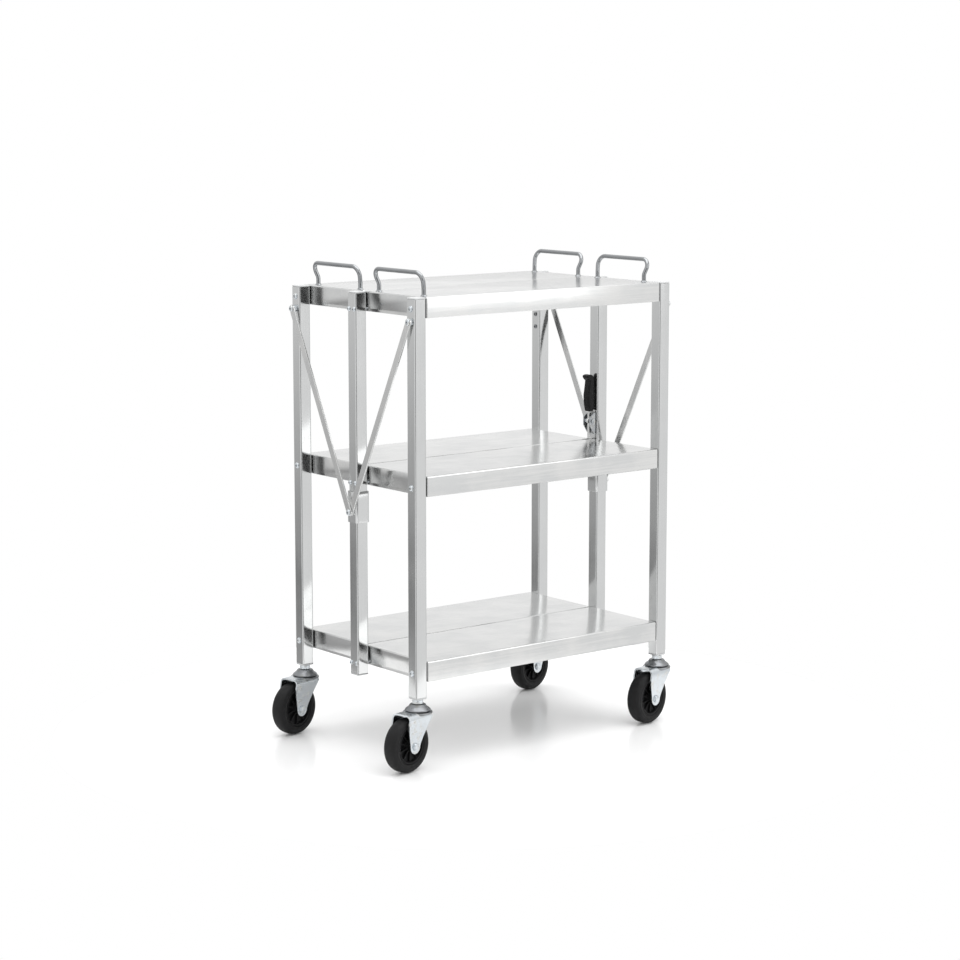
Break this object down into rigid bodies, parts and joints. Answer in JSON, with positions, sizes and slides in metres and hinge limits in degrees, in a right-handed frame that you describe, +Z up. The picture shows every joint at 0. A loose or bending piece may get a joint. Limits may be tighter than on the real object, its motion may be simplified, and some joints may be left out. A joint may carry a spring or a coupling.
{
  "type": "folding shelf trolley",
  "caption": "Folding service trolley in square stainless tube: split shelves with turned-down edges, bent-rod handles, V links, a release lever and swivel casters.",
  "frame": {"origin": "on the floor, at the middle of the footprint of the unfolded trolley, casters included", "axes": "+Z up; X along the shelves, +X towards the end with the release lever; +Y from the front frame to the rear frame"},
  "size_m": [0.695, 0.4187, 0.9038],
  "materials": {
    "stainless": "polished 18/10 stainless sheet and tube",
    "handle_rod": "bright polished stainless rod",
    "caster_steel": "bright zinc-plated pressed steel",
    "zinc": "zinc-plated fastener steel",
    "spring": "drawn spring wire",
    "cap": "light grey moulded polypropylene",
    "grip": "black moulded nylon, fine texture",
    "tyre": "black moulded rubber",
    "wheel_centre": "black moulded polypropylene"
  },
  "bodies": {
    "front_frame": {"post_front_left": "stainless", "post_cap_front_left": "cap", "link_pivot_front_left": "zinc", "caster_stem_front_left": "zinc", "post_front_right": "stainless", "post_cap_front_right": "cap", "link_pivot_front_right": "zinc", "caster_stem_front_right": "zinc"},
    "top_front": {"shelf_top_front": "stainless", "handle_front_left": "handle_rod", "handle_front_right": "handle_rod"},
    "spine": {"post_centre_left": "stainless", "post_cap_centre_left": "cap", "post_centre_right": "stainless", "post_cap_centre_right": "cap", "lever_bracket": "zinc", "lever_pin": "zinc", "lever_spring": "spring"},
    "top_rear": {"shelf_top_rear": "stainless", "handle_rear_left": "handle_rod", "handle_rear_right": "handle_rod"},
    "rear_frame": {"post_rear_left": "stainless", "post_cap_rear_left": "cap", "link_pivot_rear_left": "zinc", "caster_stem_rear_left": "zinc", "post_rear_right": "stainless", "post_cap_rear_right": "cap", "link_pivot_rear_right": "zinc", "caster_stem_rear_right": "zinc"},
    "middle_front": {"shelf_middle_front": "stainless"},
    "bottom_front": {"shelf_bottom_front": "stainless"},
    "middle_rear": {"shelf_middle_rear": "stainless"},
    "bottom_rear": {"shelf_bottom_rear": "stainless"},
    "link_front_left": {"link_front_left": "stainless"},
    "link_front_right": {"link_front_right": "stainless"},
    "link_rear_left": {"link_rear_left": "stainless", "collar_bolt_left": "zinc"},
    "link_rear_right": {"link_rear_right": "stainless", "collar_bolt_right": "zinc"},
    "collar_left": {"collar_left": "stainless"},
    "collar_right": {"collar_right": "stainless"},
    "release_lever": {"lever_arm": "stainless", "lever_grip": "grip"},
    "caster_front_left": {"fork_front_left": "caster_steel", "axle_front_left": "zinc"},
    "wheel_front_left": {"tyre_front_left": "tyre", "wheel_centre_front_left": "wheel_centre"},
    "caster_front_right": {"fork_front_right": "caster_steel", "axle_front_right": "zinc"},
    "wheel_front_right": {"tyre_front_right": "tyre", "wheel_centre_front_right": "wheel_centre"},
    "caster_rear_left": {"fork_rear_left": "caster_steel", "axle_rear_left": "zinc"},
    "wheel_rear_left": {"tyre_rear_left": "tyre", "wheel_centre_rear_left": "wheel_centre"},
    "caster_rear_right": {"fork_rear_right": "caster_steel", "axle_rear_right": "zinc"},
    "wheel_rear_right": {"tyre_rear_right": "tyre", "wheel_centre_rear_right": "wheel_centre"}
  },
  "joints": [
    {"name": "fold", "type": "hinge", "parent": "front_frame", "child": "top_front", "pos_m": [0.028, -0.179, 0.838], "axis": [1, 0, 0], "range_deg": [0, 78]},
    {"name": "spine_upright", "type": "hinge", "parent": "top_front", "child": "spine", "pos_m": [0.028, -0.008, 0.826], "axis": [1, 0, 0], "range_deg": [-79, 1]},
    {"name": "top_rear_turn", "type": "hinge", "parent": "spine", "child": "top_rear", "pos_m": [0.028, 0.008, 0.826], "axis": [1, 0, 0], "range_deg": [-79, 1]},
    {"name": "rear_frame_upright", "type": "hinge", "parent": "top_rear", "child": "rear_frame", "pos_m": [0.028, 0.179, 0.838], "axis": [1, 0, 0], "range_deg": [-1, 79]},
    {"name": "middle_front_turn", "type": "hinge", "parent": "front_frame", "child": "middle_front", "pos_m": [0.028, -0.179, 0.517], "axis": [1, 0, 0], "range_deg": [-1, 79]},
    {"name": "middle_rear_turn", "type": "hinge", "parent": "spine", "child": "middle_rear", "pos_m": [0.028, 0.008, 0.505], "axis": [1, 0, 0], "range_deg": [-79, 1]},
    {"name": "bottom_front_turn", "type": "hinge", "parent": "front_frame", "child": "bottom_front", "pos_m": [0.028, -0.179, 0.178], "axis": [1, 0, 0], "range_deg": [-1, 79]},
    {"name": "bottom_rear_turn", "type": "hinge", "parent": "spine", "child": "bottom_rear", "pos_m": [0.028, 0.008, 0.166], "axis": [1, 0, 0], "range_deg": [-79, 1]},
    {"name": "link_front_left_turn", "type": "hinge", "parent": "front_frame", "child": "link_front_left", "pos_m": [-0.2823, -0.179, 0.815], "axis": [1, 0, 0], "range_deg": [-18.72, 0.5]},
    {"name": "link_front_right_turn", "type": "hinge", "parent": "front_frame", "child": "link_front_right", "pos_m": [0.3383, -0.179, 0.815], "axis": [1, 0, 0], "range_deg": [-18.72, 0.5]},
    {"name": "link_rear_left_turn", "type": "hinge", "parent": "rear_frame", "child": "link_rear_left", "pos_m": [-0.2823, 0.179, 0.815], "axis": [1, 0, 0], "range_deg": [-0.5, 18.72]},
    {"name": "link_rear_right_turn", "type": "hinge", "parent": "rear_frame", "child": "link_rear_right", "pos_m": [0.3383, 0.179, 0.815], "axis": [1, 0, 0], "range_deg": [-0.5, 18.72]},
    {"name": "collar_left_slide", "type": "slide", "parent": "spine", "child": "collar_left", "axis": [0, 0, 1], "range_m": [-0.2166, 0.001]},
    {"name": "collar_right_slide", "type": "slide", "parent": "spine", "child": "collar_right", "axis": [0, 0, 1], "range_m": [-0.2166, 0.001]},
    {"name": "lever_squeeze", "type": "hinge", "parent": "spine", "child": "release_lever", "pos_m": [0.298, 0, 0.573], "axis": [0, 1, 0], "range_deg": [0, 3.2], "stiffness_Nm_per_rad": 1.2, "springref_deg": -4.58},
    {"name": "swivel_front_left", "type": "hinge", "parent": "front_frame", "child": "caster_front_left", "pos_m": [-0.265, -0.179, 0.112], "axis": [0, 0, 1], "continuous": true},
    {"name": "roll_front_left", "type": "hinge", "parent": "caster_front_left", "child": "wheel_front_left", "pos_m": [-0.2963, -0.18565, 0.05], "axis": [-0.2079, 0.9781, 0], "continuous": true},
    {"name": "swivel_front_right", "type": "hinge", "parent": "front_frame", "child": "caster_front_right", "pos_m": [0.321, -0.179, 0.112], "axis": [0, 0, 1], "continuous": true},
    {"name": "roll_front_right", "type": "hinge", "parent": "caster_front_right", "child": "wheel_front_right", "pos_m": [0.2897, -0.18565, 0.05], "axis": [-0.2079, 0.9781, 0], "continuous": true},
    {"name": "swivel_rear_left", "type": "hinge", "parent": "rear_frame", "child": "caster_rear_left", "pos_m": [-0.265, 0.179, 0.112], "axis": [0, 0, 1], "continuous": true},
    {"name": "roll_rear_left", "type": "hinge", "parent": "caster_rear_left", "child": "wheel_rear_left", "pos_m": [-0.2963, 0.17235, 0.05], "axis": [-0.2079, 0.9781, 0], "continuous": true},
    {"name": "swivel_rear_right", "type": "hinge", "parent": "rear_frame", "child": "caster_rear_right", "pos_m": [0.321, 0.179, 0.112], "axis": [0, 0, 1], "continuous": true},
    {"name": "roll_rear_right", "type": "hinge", "parent": "caster_rear_right", "child": "wheel_rear_right", "pos_m": [0.2897, 0.17235, 0.05], "axis": [-0.2079, 0.9781, 0], "continuous": true}
  ],
  "couplings": [
    {"joint": "spine_upright", "follows": "fold", "ratio": -1},
    {"joint": "top_rear_turn", "follows": "fold", "ratio": -1},
    {"joint": "rear_frame_upright", "follows": "fold", "ratio": 1},
    {"joint": "middle_front_turn", "follows": "fold", "ratio": 1},
    {"joint": "middle_rear_turn", "follows": "fold", "ratio": -1},
    {"joint": "bottom_front_turn", "follows": "fold", "ratio": 1},
    {"joint": "bottom_rear_turn", "follows": "fold", "ratio": -1},
    {"joint": "link_front_left_turn", "follows": "fold", "ratio": -0.23528},
    {"joint": "link_front_right_turn", "follows": "fold", "ratio": -0.23528},
    {"joint": "link_rear_left_turn", "follows": "fold", "ratio": 0.23528},
    {"joint": "link_rear_right_turn", "follows": "fold", "ratio": 0.23528},
    {"joint": "collar_left_slide", "follows": "fold", "m_per_rad": -0.15765},
    {"joint": "collar_right_slide", "follows": "fold", "m_per_rad": -0.15765}
  ]
}
